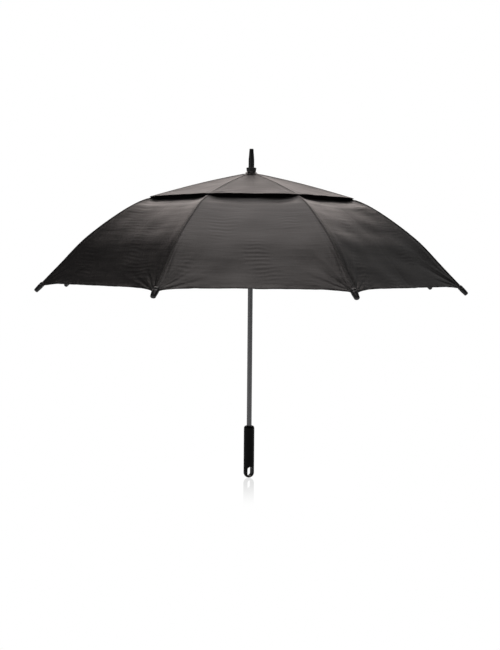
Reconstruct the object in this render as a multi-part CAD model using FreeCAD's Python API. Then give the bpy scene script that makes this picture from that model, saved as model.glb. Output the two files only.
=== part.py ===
"""Golf umbrella with a vented double canopy, open, standing on its handle's end.

Millimetres, +Z up. The origin is at the bottom of the handle, on the shaft's axis.
Eight ribs fold about the crown, each with a stretcher to the runner, and each carries
a gore of the lower canopy and a gore of the upper vent canopy to its next neighbour.
"""
import FreeCAD, Part
import math
import os

from FreeCAD import Placement, Rotation, Vector

os.makedirs("parts", exist_ok=True)

# ribs
RIB_COUNT = 8
RIB_PITCH = 360.0 / RIB_COUNT
FIRST_RIB_ANGLE = RIB_PITCH / 2

# handle, a round grip with a full-round end and a slot across it
HANDLE_R = 15.0
HANDLE_TOP = 150.0
HANDLE_SHOULDER = 7.0
SLOT_WIDTH = 15.5
SLOT_HEIGHT = 28.0
SLOT_Z = 19.0
SLOT_ANGLE = -73.0

# shaft
SHAFT_R = 7.0
SHAFT_WALL = 1.0
SHAFT_BOTTOM = 42.0
SHAFT_TOP = 876.0
SNUG = 0.05

# top fittings
CANOPY_WASHER_Z = 862.0
COLLAR_Z = 866.0
COLLAR_R = 14.0
COLLAR_NECK_R = 12.8
WASHER_R = 17.0
SPIKE_Z = 877.0
SPIKE_R = 8.0
SPIKE_TAPER_Z = 897.0
SPIKE_TIP_R = 5.4
OVERALL_HEIGHT = 929.5
SPIKE_BORE_TOP = 886.0
SPIKE_EDGE = 1.0
SPIKE_EDGE_LEAN = 0.2
WASHER_RIM = 1.0

# folding linkage: crown pivot, rib joint and runner pivot, in the plane of each rib
HUB_PIVOT_R = 10.0
CROWN_PIVOT_Z = 851.0
JOINT_R = 300.0
JOINT_Z = 776.0
RUNNER_PIVOT_Z = 2 * JOINT_Z - CROWN_PIVOT_Z
LINK_LENGTH = math.hypot(JOINT_R - HUB_PIVOT_R, CROWN_PIVOT_Z - JOINT_Z)
CLOSED_LEAN = 3.0
RUNNER_TRAVEL = 2 * LINK_LENGTH * math.cos(math.radians(CLOSED_LEAN)) - (CROWN_PIVOT_Z - RUNNER_PIVOT_Z)

# pivots and links, as half thicknesses and distances across the rib's plane
WIRE_R = 0.7
EYE_HOLE_R = 0.78
EYE_R = 1.9
EYE_HALF = 0.8
HUB_SLOT_HALF = 1.1
PIN_R = 1.0
PIN_HOLE_R = 1.06
PIN_HEAD_R = 1.9
JOINT_EYE_R = 2.8
FORK_IN = 1.1
FORK_OUT = 1.9
EAR_IN = 2.2
EAR_OUT = 3.1
PIN_HEAD_IN = 3.2
PIN_HEAD_OUT = 4.0
NECK_HALF = 1.7
CUT_HALF = 2.0

# rods and the sockets on their ends
ROD_R = 1.8
SOCKET_R = 2.5
STRETCHER_R = 1.75
INNER_ROD_STATIONS = [20, 60, 110, 160, 210, 255, 290]
OUTER_ROD_STATIONS = [307, 345, 385, 430, 475, 520, 560]
EYE_NECK = 10.0
EYE_SOCKET_START = 8.5
EYE_SOCKET_END = 9.0
BRACKET_STATIONS = [281, 286, 291.5]
EAR_HALF = NECK_HALF + 0.6
TONGUE_NECK = 2.0
TONGUE_SOCKET = [-1.0, 3.0, 12.0]
FORK_LENGTH = 13.5
FORK_WEB_END = 17.0
STRUT_START = 15.0
STRUT_SHORTER = 27.0
EYE_PLATE = 14.0

# crown and runner
HUB_R = 14.0
CROWN_BOTTOM = 845.0
CROWN_TOP = 858.5
HUB_SLOT_DEPTH = 2.5
HUB_SLOT_INNER = 7.8
RUNNER_TOP = RUNNER_PIVOT_Z + 5.0
RUNNER_FLANGE_BOTTOM = RUNNER_PIVOT_Z - 7.0
RUNNER_BOTTOM = 640.0
RUNNER_BORE = 7.25
RUNNER_R = 9.5
RUNNER_BEAD_R = 11.0
RUNNER_BEAD = 5.0

# spring catches in the shaft, and the window in the runner that takes their noses
CATCH_Z = 668.0
CATCH_HALF_WIDTH = 1.4
CATCH_HALF_HEIGHT = 7.0
CATCH_REACH = 10.3
CATCH_FLAT = 4.0
CATCH_LEAF_Y = 3.6
CATCH_LEAF = 1.0
CATCH_LEAF_LENGTH = 30.0
WINDOW_HALF_WIDTH = 2.0
WINDOW_HALF_HEIGHT = 8.5
SLIT_HALF_WIDTH = 1.6
SLIT_HALF_HEIGHT = 7.5
BEAD_STEP = 1.0
FLANGE_STEP = 3.0

# canopy: top surface along a rib, as distance from the axis and height
CAP_PROFILE = [(9, 861.4), (17, 860), (80, 846.5), (140, 832), (203, 815), (297, 787.5)]
SKIRT_PROFILE = [
    (262, 794),
    (300, 783.5),
    (330, 771.5),
    (375, 746),
    (442, 699),
    (483, 665),
    (523, 624),
    (588, 557.5),
]
CLOTH = 1.0
SEAM_GAP = 0.4
INNER_ROD_DEPTH = 7.5
OUTER_ROD_DEPTH = 4.0

# rib tips
TIP_START_R = 589.2
TIP_LENGTH = 26.0
TIP_WIDTH = 16.0
TIP_THICK = 11.0
TIP_END_WIDTH = 13.0
TIP_END_THICK = 10.5
TIP_BORE = 14.0
TIP_LEAD = 1.5
TIP_STATIONS = [
    (0.0, TIP_WIDTH, TIP_THICK - 1.5),
    (0.12, TIP_WIDTH + 0.8, TIP_THICK),
    (0.45, TIP_WIDTH - 1.0, TIP_THICK + 0.5),
    (0.85, TIP_END_WIDTH, TIP_END_THICK + 0.5),
    (1.0, TIP_END_WIDTH - 3.0, TIP_END_THICK - 2.0),
]


def save(name, *solids):
    shape = solids[0] if len(solids) == 1 else Part.makeCompound(list(solids))
    shape.exportStep("parts/" + name + ".step")


def rib_angle(index):
    return FIRST_RIB_ANGLE + RIB_PITCH * index


def to_rib(shape, index):
    """Turn a shape made in the X-Z plane to the plane of a rib."""
    turned = shape.copy()
    turned.rotate(Vector(), Vector(0, 0, 1), rib_angle(index))
    return turned


def at(point, across=0.0):
    return Vector(point[0], across, point[1])


def revolve(points):
    """Solid of revolution about Z from (radius, height) points."""
    corners = [at(p) for p in points]
    face = Part.Face(Part.makePolygon(corners + corners[:1]))
    return face.revolve(Vector(), Vector(0, 0, 1), 360)


def tube(outer, inner, bottom, top):
    return revolve([(inner, bottom), (outer, bottom), (outer, top), (inner, top)])


def fused(shapes):
    return shapes[0].multiFuse(list(shapes[1:])).removeSplitter()


def curve(points):
    spline = Part.BSplineCurve()
    spline.interpolate([at(p) for p in points])
    return spline


CAP_CURVE = curve(CAP_PROFILE)
SKIRT_CURVE = curve(SKIRT_PROFILE)


def below(spline, radius, depth):
    """Point a given depth under a profile, square to it, and the profile's outward direction."""
    plane = Part.Plane(Vector(radius, 0, 0), Vector(1, 0, 0))
    hit = spline.intersect(plane)[0][0]
    on_curve = Vector(hit.X, hit.Y, hit.Z)
    outward = spline.tangent(spline.parameter(on_curve))[0]
    inward = Vector(outward.z, 0, -outward.x)
    point = on_curve + inward * depth
    return (point.x, point.z), outward


def rod(points, radius):
    """Round rod along a smooth path through points in the X-Z plane."""
    path = curve(points)
    start = path.value(path.FirstParameter)
    along = path.tangent(path.FirstParameter)[0]
    section = Part.Wire(Part.makeCircle(radius, start, along))
    return Part.Wire(path.toShape()).makePipeShell([section], True, False)


def link_plate(start, end, half_height, inner, outer):
    """Flat link with round ends, in a rib's plane, from one distance across it to another."""
    along = at(end) - at(start)
    length = along.Length
    across = Vector(0, 1, 0)
    bar = Part.makeBox(length, outer - inner, 2 * half_height)
    bar.translate(Vector(0, 0, -half_height))
    bar.rotate(Vector(), across, -math.degrees(math.atan2(along.z, along.x)))
    bar.translate(at(start, inner))
    ends = [Part.makeCylinder(half_height, outer - inner, at(p, inner), across) for p in (start, end)]
    return fused([bar] + ends)


def cross_pin(point, radius, half_length):
    return Part.makeCylinder(radius, 2 * half_length, at(point, -half_length), Vector(0, 1, 0))


def both_sides(shape):
    return [shape, shape.mirror(Vector(), Vector(0, 1, 0))]


def part_way(start, end, distance):
    along = (at(end) - at(start)).normalize() * distance
    return (start[0] + along.x, start[1] + along.z)


CROWN_PIVOT = (HUB_PIVOT_R, CROWN_PIVOT_Z)
JOINT = (JOINT_R, JOINT_Z)
RUNNER_PIVOT = (HUB_PIVOT_R, RUNNER_PIVOT_Z)


def handle_grip():
    diagonal = math.cos(math.pi / 4)
    start = (0, 0)
    middle = (HANDLE_R * diagonal, HANDLE_R * (1 - diagonal))
    end = (HANDLE_R, HANDLE_R)
    shoulder_z = HANDLE_TOP - HANDLE_SHOULDER
    shoulder_r = HANDLE_R - HANDLE_SHOULDER
    shoulder_mid = HANDLE_SHOULDER * diagonal
    edges = [
        Part.Arc(at(start), at(middle), at(end)).toShape(),
        Part.makeLine(at(end), at((HANDLE_R, shoulder_z))),
        Part.Arc(
            at((HANDLE_R, shoulder_z)),
            at((shoulder_r + shoulder_mid, shoulder_z + shoulder_mid)),
            at((shoulder_r, HANDLE_TOP)),
        ).toShape(),
        Part.makeLine(at((shoulder_r, HANDLE_TOP)), at((0, HANDLE_TOP))),
        Part.makeLine(at((0, HANDLE_TOP)), at(start)),
    ]
    body = Part.Face(Part.Wire(edges)).revolve(Vector(), Vector(0, 0, 1), 360)
    bore = Part.makeCylinder(SHAFT_R + SNUG, HANDLE_TOP, Vector(0, 0, SHAFT_BOTTOM))
    return body.cut(bore).cut(handle_slot())


def handle_slot():
    """Stadium-shaped hole across the handle's lower end."""
    depth = 4 * HANDLE_R
    half = SLOT_WIDTH / 2
    straight = SLOT_HEIGHT - SLOT_WIDTH
    middle = Part.makeBox(depth, SLOT_WIDTH, straight)
    middle.translate(Vector(-depth / 2, -half, SLOT_Z - straight / 2))
    ends = [
        Part.makeCylinder(half, depth, Vector(-depth / 2, 0, SLOT_Z + side * straight / 2), Vector(1, 0, 0))
        for side in (-1, 1)
    ]
    slot = fused([middle] + ends)
    slot.rotate(Vector(), Vector(0, 0, 1), SLOT_ANGLE)
    return slot


def shaft_tube():
    shaft = tube(SHAFT_R, SHAFT_R - SHAFT_WALL, SHAFT_BOTTOM, SHAFT_TOP)
    for height in (CATCH_Z, CATCH_Z - RUNNER_TRAVEL):
        slit = Part.makeBox(2 * SLIT_HALF_WIDTH, 2 * SHAFT_R, 2 * SLIT_HALF_HEIGHT)
        slit.translate(Vector(-SLIT_HALF_WIDTH, 0, height - SLIT_HALF_HEIGHT))
        shaft = shaft.cut(slit)
    return shaft


def ferrule_spike():
    outline = [
        (0, SPIKE_Z),
        (SPIKE_R, SPIKE_Z),
        (SPIKE_R, SPIKE_TAPER_Z),
        (SPIKE_TIP_R + SPIKE_EDGE_LEAN, OVERALL_HEIGHT - SPIKE_EDGE),
        (SPIKE_TIP_R - SPIKE_EDGE, OVERALL_HEIGHT),
        (0, OVERALL_HEIGHT),
    ]
    bore = Part.makeCylinder(SHAFT_R + SNUG, SPIKE_BORE_TOP - SPIKE_Z, Vector(0, 0, SPIKE_Z))
    return revolve(outline).cut(bore)


def ferrule_collar():
    bore = SHAFT_R + SNUG
    return revolve([(bore, COLLAR_Z), (COLLAR_NECK_R, COLLAR_Z), (COLLAR_R, SPIKE_Z), (bore, SPIKE_Z)])


def canopy_washer():
    bore = SHAFT_R + SNUG
    rim = CANOPY_WASHER_Z + WASHER_RIM
    return revolve(
        [
            (bore, CANOPY_WASHER_Z),
            (WASHER_R, CANOPY_WASHER_Z),
            (WASHER_R, rim),
            (COLLAR_NECK_R, COLLAR_Z),
            (bore, COLLAR_Z),
        ]
    )


def hub_wire(height):
    return Part.makeTorus(HUB_PIVOT_R, WIRE_R, Vector(0, 0, height))


def cut_hub_slots(hub, low, high):
    """Cut a radial slot for each rib or stretcher eye, and the groove that holds the wire."""
    for index in range(RIB_COUNT):
        slot = Part.makeBox(HUB_R, 2 * HUB_SLOT_HALF, high - low)
        slot.translate(Vector(HUB_SLOT_INNER, -HUB_SLOT_HALF, low))
        hub = hub.cut(to_rib(slot, index))
    return hub


def crown_notch():
    hub = tube(HUB_R, SHAFT_R + SNUG, CROWN_BOTTOM, CROWN_TOP)
    hub = cut_hub_slots(hub, CROWN_BOTTOM - 1, CROWN_PIVOT_Z + HUB_SLOT_DEPTH)
    return hub.cut(Part.makeTorus(HUB_PIVOT_R, WIRE_R + SNUG, Vector(0, 0, CROWN_PIVOT_Z)))


def runner():
    hub = revolve(
        [
            (RUNNER_BORE, RUNNER_BOTTOM),
            (RUNNER_BEAD_R, RUNNER_BOTTOM),
            (RUNNER_BEAD_R, RUNNER_BOTTOM + RUNNER_BEAD),
            (RUNNER_R, RUNNER_BOTTOM + RUNNER_BEAD + BEAD_STEP),
            (RUNNER_R, RUNNER_FLANGE_BOTTOM - FLANGE_STEP),
            (HUB_R, RUNNER_FLANGE_BOTTOM),
            (HUB_R, RUNNER_TOP),
            (RUNNER_BORE, RUNNER_TOP),
        ]
    )
    hub = cut_hub_slots(hub, RUNNER_PIVOT_Z - HUB_SLOT_DEPTH, RUNNER_TOP + 1)
    window = Part.makeBox(2 * WINDOW_HALF_WIDTH, 2 * RUNNER_R, 2 * WINDOW_HALF_HEIGHT)
    window.translate(Vector(-WINDOW_HALF_WIDTH, 0, CATCH_Z - WINDOW_HALF_HEIGHT))
    hub = hub.cut(window)
    return hub.cut(Part.makeTorus(HUB_PIVOT_R, WIRE_R + SNUG, Vector(0, 0, RUNNER_PIVOT_Z)))


def spring_catch(height, flip):
    """Leaf inside the shaft with a ramped nose that passes through the slit; flip turns it over."""
    root_y = CATCH_LEAF_Y + CATCH_LEAF
    flat = [
        (CATCH_LEAF_Y, -CATCH_LEAF_LENGTH),
        (CATCH_LEAF_Y, CATCH_HALF_HEIGHT),
        (CATCH_REACH, CATCH_HALF_HEIGHT),
        (CATCH_REACH, CATCH_HALF_HEIGHT - CATCH_FLAT),
        (SHAFT_R, -CATCH_HALF_HEIGHT),
        (root_y, -CATCH_HALF_HEIGHT),
        (root_y, -CATCH_LEAF_LENGTH),
    ]
    corners = [Vector(-CATCH_HALF_WIDTH, y, height + flip * z) for y, z in flat]
    face = Part.Face(Part.makePolygon(corners + corners[:1]))
    return face.extrude(Vector(2 * CATCH_HALF_WIDTH, 0, 0))


def rib_inner():
    """Rod from the crown to the joint, with its wire eye, joint bracket and rivet."""
    path = [below(CAP_CURVE, r, INNER_ROD_DEPTH)[0] for r in INNER_ROD_STATIONS]
    inner_rod = rod(path, ROD_R)
    neck_end = part_way(CROWN_PIVOT, path[0], EYE_NECK)
    socket_start = part_way(CROWN_PIVOT, path[0], EYE_SOCKET_START)
    socket_end = part_way(path[0], path[1], EYE_SOCKET_END)
    eye_socket = rod([socket_start, path[0], socket_end], SOCKET_R)
    eye = fused([link_plate(CROWN_PIVOT, neck_end, EYE_R, -EYE_HALF, EYE_HALF), eye_socket])
    eye = eye.cut(cross_pin(CROWN_PIVOT, EYE_HOLE_R, CUT_HALF)).cut(inner_rod)
    sleeve_path = [below(CAP_CURVE, r, INNER_ROD_DEPTH)[0] for r in BRACKET_STATIONS]
    ear = link_plate(sleeve_path[1], JOINT, EAR_HALF, EAR_IN, EAR_OUT)
    bracket = fused([rod(sleeve_path, SOCKET_R)] + both_sides(ear))
    bracket = bracket.cut(cross_pin(JOINT, PIN_R + SNUG, 2 * EAR_OUT)).cut(inner_rod)
    rivet = cross_pin(JOINT, PIN_R, PIN_HEAD_OUT)
    head = Part.makeCylinder(PIN_HEAD_R, PIN_HEAD_OUT - PIN_HEAD_IN, at(JOINT, PIN_HEAD_IN), Vector(0, 1, 0))
    return [inner_rod, eye, bracket, fused([rivet] + both_sides(head))]


def rib_outer():
    """Rod from the joint to the tip, with the joint's tongue."""
    path = [below(SKIRT_CURVE, r, OUTER_ROD_DEPTH)[0] for r in OUTER_ROD_STATIONS]
    last, along = tip_frame()
    in_tip = TIP_BORE - 1
    path.append(last)
    path.append((last[0] + along.x * in_tip, last[1] + along.z * in_tip))
    outer_rod = rod(path, ROD_R)
    tongue_end = part_way(path[0], path[1], TONGUE_NECK)
    tongue_socket = rod([part_way(path[0], path[1], d) for d in TONGUE_SOCKET], SOCKET_R)
    tongue = fused([link_plate(JOINT, tongue_end, NECK_HALF, -EYE_HALF, EYE_HALF), tongue_socket])
    boss = cross_pin(JOINT, JOINT_EYE_R, EYE_HALF)
    tongue = fused([tongue, boss]).cut(cross_pin(JOINT, PIN_HOLE_R, CUT_HALF)).cut(outer_rod)
    return [outer_rod, tongue]


def tip_frame():
    """Start of the tip on the rod's centre line, and the direction along it."""
    return below(SKIRT_CURVE, TIP_START_R - TIP_LEAD, OUTER_ROD_DEPTH)


def ellipse_wire(centre, along, half_width, half_thick):
    ellipse = Part.Ellipse()
    ellipse.MajorRadius = half_width
    ellipse.MinorRadius = half_thick
    edge = ellipse.toShape()
    across = Vector(0, 1, 0)
    edge.Placement = Placement(centre, Rotation(across, along.cross(across), along, "ZXY"))
    return Part.Wire(edge)


def rib_tip():
    """Moulded tip that covers the rod's end, wide where it takes the cloth."""
    start, along = tip_frame()
    origin = at(start) + along * TIP_LEAD
    wires = [
        ellipse_wire(origin + along * (share * TIP_LENGTH), along, width / 2, thick / 2)
        for share, width, thick in TIP_STATIONS
    ]
    body = Part.makeLoft(wires, True, False)
    bore = Part.makeCylinder(ROD_R + SNUG, TIP_BORE, at(start), along)
    return body.cut(bore)


def stretcher():
    """Strut from the joint's fork to its eye on the runner's wire."""
    fork_root = part_way(JOINT, RUNNER_PIVOT, FORK_LENGTH)
    web_end = part_way(JOINT, RUNNER_PIVOT, FORK_WEB_END)
    fork = [
        link_plate(JOINT, fork_root, NECK_HALF, FORK_IN, FORK_OUT),
        link_plate(JOINT, fork_root, NECK_HALF, -FORK_OUT, -FORK_IN),
        link_plate(fork_root, web_end, NECK_HALF, -FORK_OUT, FORK_OUT),
    ]
    for side in (FORK_IN, -FORK_OUT):
        fork.append(Part.makeCylinder(JOINT_EYE_R, FORK_OUT - FORK_IN, at(JOINT, side), Vector(0, 1, 0)))
    along = (at(RUNNER_PIVOT) - at(JOINT)).normalize()
    strut_start = at(JOINT) + along * STRUT_START
    strut = Part.makeCylinder(STRETCHER_R, LINK_LENGTH - STRUT_SHORTER, strut_start, along)
    plate_start = part_way(JOINT, RUNNER_PIVOT, LINK_LENGTH - EYE_PLATE)
    neck = link_plate(plate_start, RUNNER_PIVOT, EYE_R, -EYE_HALF, EYE_HALF)
    bar = fused(fork + [strut, neck])
    bar = bar.cut(cross_pin(JOINT, PIN_HOLE_R, EAR_OUT))
    return bar.cut(cross_pin(RUNNER_PIVOT, EYE_HOLE_R, CUT_HALF))


def edge_curve(profile, angle, side, drop):
    """Profile curve beside a rib, half the seam gap from the rib's plane."""
    across = side * SEAM_GAP
    spline = Part.BSplineCurve()
    spline.interpolate([Vector(r, across, z - drop) for r, z in profile])
    edge = spline.toShape()
    edge.Placement = Placement(Vector(), Rotation(Vector(0, 0, 1), angle))
    return edge


def gore(profile, index):
    """Closed sheet of cloth stretched straight from one rib to the next."""
    first = rib_angle(index)
    second = rib_angle(index + 1)
    tops = [edge_curve(profile, first, 1, 0.0), edge_curve(profile, second, -1, 0.0)]
    bottoms = [edge_curve(profile, first, 1, CLOTH), edge_curve(profile, second, -1, CLOTH)]
    faces = [
        Part.makeRuledSurface(tops[0], tops[1]),
        Part.makeRuledSurface(bottoms[0], bottoms[1]),
        Part.makeRuledSurface(tops[0], bottoms[0]),
        Part.makeRuledSurface(tops[1], bottoms[1]),
    ]
    for end in (0, -1):
        corners = [edge.valueAt(edge.ParameterRange[end]) for edge in tops + bottoms]
        first_line = Part.makeLine(corners[0], corners[1])
        faces.append(Part.makeRuledSurface(first_line, Part.makeLine(corners[2], corners[3])))
    shell = Part.makeShell(faces)
    shell.sewShape()
    sheet = Part.makeSolid(shell)
    if sheet.Volume < 0:
        sheet.reverse()
    return sheet


def build_root():
    save("handle_grip", handle_grip())
    save("shaft_tube", shaft_tube())
    save("crown_notch", crown_notch())
    save("crown_wire", hub_wire(CROWN_PIVOT_Z))
    save("canopy_washer", canopy_washer())
    save("ferrule_collar", ferrule_collar())
    save("ferrule_spike", ferrule_spike())


def build_runner():
    save("runner", runner())
    save("runner_wire", hub_wire(RUNNER_PIVOT_Z))
    save("top_catch", spring_catch(CATCH_Z, 1))
    save("bottom_catch", spring_catch(CATCH_Z - RUNNER_TRAVEL, -1))


def build_ribs():
    inner = rib_inner()
    outer = rib_outer()
    tip = rib_tip()
    strut = stretcher()
    for index in range(RIB_COUNT):
        number = str(index + 1)
        save("rib_inner_" + number, *[to_rib(solid, index) for solid in inner])
        save("rib_outer_" + number, *[to_rib(solid, index) for solid in outer])
        save("rib_tip_" + number, to_rib(tip, index))
        save("stretcher_" + number, to_rib(strut, index))


def build_canopy():
    for index in range(RIB_COUNT):
        number = str(index + 1)
        save("canopy_gore_" + number, gore(SKIRT_PROFILE, index))
        save("vent_gore_" + number, gore(CAP_PROFILE, index))


build_root()
build_runner()
build_ribs()
build_canopy()
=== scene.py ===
import math

import bmesh
import bpy
import numpy as np
from mathutils import Matrix, Vector


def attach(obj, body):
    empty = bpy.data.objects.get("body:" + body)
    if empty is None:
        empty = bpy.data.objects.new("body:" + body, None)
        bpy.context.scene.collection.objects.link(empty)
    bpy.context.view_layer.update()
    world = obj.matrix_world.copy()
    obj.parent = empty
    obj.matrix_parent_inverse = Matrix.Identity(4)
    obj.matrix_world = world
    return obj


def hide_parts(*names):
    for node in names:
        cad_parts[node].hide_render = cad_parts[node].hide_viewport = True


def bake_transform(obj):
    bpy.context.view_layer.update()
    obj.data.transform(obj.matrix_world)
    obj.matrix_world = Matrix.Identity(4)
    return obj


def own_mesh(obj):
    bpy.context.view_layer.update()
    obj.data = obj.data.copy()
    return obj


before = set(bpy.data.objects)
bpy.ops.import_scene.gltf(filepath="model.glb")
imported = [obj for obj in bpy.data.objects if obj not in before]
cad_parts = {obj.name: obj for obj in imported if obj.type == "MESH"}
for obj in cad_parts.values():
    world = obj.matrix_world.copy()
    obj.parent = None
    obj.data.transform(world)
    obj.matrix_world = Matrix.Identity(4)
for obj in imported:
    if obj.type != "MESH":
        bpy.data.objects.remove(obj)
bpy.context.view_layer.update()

MM = 0.001
RIBS = 8
PITCH = 2 * math.pi / RIBS
HALF_PITCH = PITCH / 2
UP = np.array([0.0, 0.0, 1.0])

# the cloth's top surface along a rib: distance from the axis and height, in mm
CAP_PROFILE = [(9, 861.4), (17, 860), (80, 846.5), (140, 832), (203, 815), (297, 787.5)]
SKIRT_PROFILE = [
    (262, 794), (300, 783.5), (330, 771.5), (375, 746),
    (442, 699), (483, 665), (523, 624), (588, 557.5),
]
INNER_ROD_DEPTH = 7.5 * MM
OUTER_ROD_DEPTH = 4.0 * MM

# where the sewn pieces begin and end, as distances from the axis, in metres
PATCH_END_R = 0.036
CAP_START_R = 0.026
CAP_TAPE_START_R = 0.018
CAP_SEAM_START_R = 0.034
SKIRT_SEAM_START_R = 0.303

# cloth
CLOTH_THICK = 0.4 * MM
SEAM_SPLIT = 0.25 * MM
PATCH_LIFT = 0.55 * MM
PATCH_INSET = 0.2 * MM
HEM_WIDTH = 9 * MM
HEM_TURN = 0.5 * MM
HEM_ROLL = 0.5 * MM
SKIRT_CORNER_REACH = 14 * MM
CAP_CORNER_REACH = 1.5 * MM
HEM_ARCH_POWER = 6
TOP_WIDTH_SHARE = 0.446
BAND_HALF = 2.9 * MM
BAND_LIFT = 0.4 * MM
TAPE_HALF = 12.5 * MM
TAPE_SLOPE = 0.27
TAPE_THICK = 0.35 * MM

# rows and columns of the cloth's meshes
SKIRT_MESH = (160, 124)
CAP_MESH = (92, 64)
PATCH_MESH = (22, 16)
CAP_SEAM_ROWS = 90
SKIRT_SEAM_ROWS = 120

# weave and stitches in the cloth's material
WEAVE_PITCH = 0.55 * MM
STITCH_PITCH = 2.6 * MM
STITCH_SHARE = 0.72
STITCH_ROWS = {"hem": 6.5 * MM, "seam": 1.3 * MM}

# handle and top fittings, in mm
HANDLE_R = 15.0
HANDLE_SHOULDER_Z = 143.0
SHOULDER_R = 6.85
SHAFT_R = 7.0
SLOT_WIDTH = 15.5
SLOT_HEIGHT = 28.0
SLOT_Z = 19.0
SLOT_ANGLE = math.radians(-73.0)
WASHER_Z = 862.0
COLLAR_Z = 866.0
SPIKE_Z = 877.0
SPIKE_TAPER_Z = 899.0
SPIKE_TOP_Z = 929.5

# rib tip, in mm: distance along it, width and thickness
TIP_STATIONS = [
    (-4.2, 11.6, 7.6), (-3.9, 13.4, 9.2), (-2.8, 15.2, 10.8), (-0.8, 16.6, 12.2), (1.6, 17.2, 12.9),
    (3.6, 17.2, 12.9), (4.1, 15.9, 11.7), (5.3, 15.9, 11.7), (5.8, 17.0, 12.8), (9.0, 16.8, 12.7),
    (13.0, 15.9, 12.4), (18.0, 14.5, 11.8), (22.0, 13.5, 11.3), (24.2, 12.8, 10.7), (25.3, 11.2, 9.2),
    (25.9, 8.6, 6.8), (26.1, 4.0, 3.0),
]
TIP_R = 0.5877
TIP_START = 1.5
TIP_SQUARENESS = 0.85

# thread ties: radius of the rod's loop, of the thread, and the pitch of its turns
TIE_LOOP_R = 2.35 * MM
THREAD_R = 0.22 * MM
TIE_PITCH = 0.55 * MM
TIE_TURNS = 3

# camera
CAMERA_DISTANCE = 2.793
CAMERA_HEIGHT = 0.6283
CAMERA_YAW = math.radians(1.15)
CAMERA_PITCH = math.radians(-3.93)
CAMERA_ROLL = math.radians(0.49)
CAMERA_LENS = 54.86

# studio: floor, and each light's place, target, size, power and colour
FLOOR_SIZE = 60
FLOOR_DROP = 0.0005
FLOOR_GLOW_ON_OBJECT = 0.5
REFLECTION = 0.24
REFLECTION_REACH = (0.02, 0.34)
WORLD_ON_OBJECT = 0.03
WHITE = (1.0, 1.0, 1.0)
LIGHTS = {
    "overhead": ((0.0, 0.15, 2.9), (0.0, 0.15, 0.7), (1.3, 2.3), 25, (1.0, 0.95, 0.94)),
    "backdrop_low": ((0.0, 3.2, 0.9), (0.0, 0.0, 0.9), (3.0, 1.8), 0.5 * math.pi * 3.0 * 1.8, WHITE),
    "backdrop_high": (
        (0.0, 3.2, 2.8), (0.0, 0.0, 1.6), (3.8, 2.0), 3.3 * math.pi * 3.8 * 2.0, (1.0, 0.90, 0.86),
    ),
    "right_back": ((2.6, 2.2, 2.6), (0.0, 0.0, 0.8), (1.6, 1.6), 3.8, WHITE),
    "left_fill": ((-2.4, -1.6, 1.0), (0.0, 0.0, 0.4), (1.2, 1.6), 5, WHITE),
}


# ---------------------------------------------------------------- curves and meshes

def smooth_line(points, count=600):
    """Evenly spaced points of a smooth curve through the given ones, and the distance along it, in metres."""
    p = np.array(points, float) * MM
    t = np.concatenate([[0], np.cumsum(np.hypot(*np.diff(p, axis=0).T))])
    h = np.diff(t)
    n = len(p)
    a = np.eye(n)
    b = np.zeros((n, 2))
    for i in range(1, n - 1):
        a[i, i - 1: i + 2] = h[i - 1], 2 * (h[i - 1] + h[i]), h[i]
        b[i] = 6 * ((p[i + 1] - p[i]) / h[i] - (p[i] - p[i - 1]) / h[i - 1])
    m = np.linalg.solve(a, b)
    fine = np.linspace(0, t[-1], 6 * count)
    k = np.clip(np.searchsorted(t, fine, "right") - 1, 0, n - 2)
    u, w = (t[k + 1] - fine)[:, None], (fine - t[k])[:, None]
    hk = h[k][:, None]
    line = (m[k] * u ** 3 + m[k + 1] * w ** 3) / (6 * hk)
    line += (p[k] / hk - m[k] * hk / 6) * u + (p[k + 1] / hk - m[k + 1] * hk / 6) * w
    run = np.concatenate([[0], np.cumsum(np.hypot(*np.diff(line, axis=0).T))])
    even = np.linspace(0, run[-1], count)
    return np.stack([np.interp(even, run, line[:, 0]), np.interp(even, run, line[:, 1])], 1), even


def carried_on(line, run, length):
    """A profile with a straight end added."""
    along = (line[-1] - line[-2]) / np.linalg.norm(line[-1] - line[-2])
    return np.concatenate([line, [line[-1] + along * length]]), np.append(run, run[-1] + length)


CAP_LINE, CAP_RUN = smooth_line(CAP_PROFILE)
SKIRT_LINE, SKIRT_RUN = smooth_line(SKIRT_PROFILE)
SKIRT_END = SKIRT_RUN[-1]
SKIRT_LINE, SKIRT_RUN = carried_on(SKIRT_LINE, SKIRT_RUN, SKIRT_CORNER_REACH)


def at_radius(line, run, radius):
    """Distance along a profile at which it reaches a radius."""
    return float(np.interp(radius, line[:, 0], run))


def on_line(line, run, s):
    """Distance from the axis and height at a distance along a profile."""
    return np.interp(s, run, line[:, 0]), np.interp(s, run, line[:, 1])


def step(x, low, high):
    """Smooth step from 0 at low to 1 at high."""
    t = np.clip((x - low) / (high - low), 0, 1)
    return t * t * (3 - 2 * t)


def bell(x, width):
    """Smooth bump, 1 at 0 and about a third at the given width."""
    return np.exp(-(x / width) ** 2)


def waves(x, y, seed, size, count=6):
    """Smooth random field with features of about the given size, from -1 to 1."""
    rng = np.random.default_rng(seed)
    total = np.zeros_like(x)
    for _ in range(count):
        a, k, phase = rng.uniform(0, 2 * np.pi), rng.uniform(0.6, 1.5) / size, rng.uniform(0, 2 * np.pi)
        total += np.sin(2 * np.pi * k * (x * np.cos(a) + y * np.sin(a)) + phase)
    return total / count * 1.7


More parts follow.
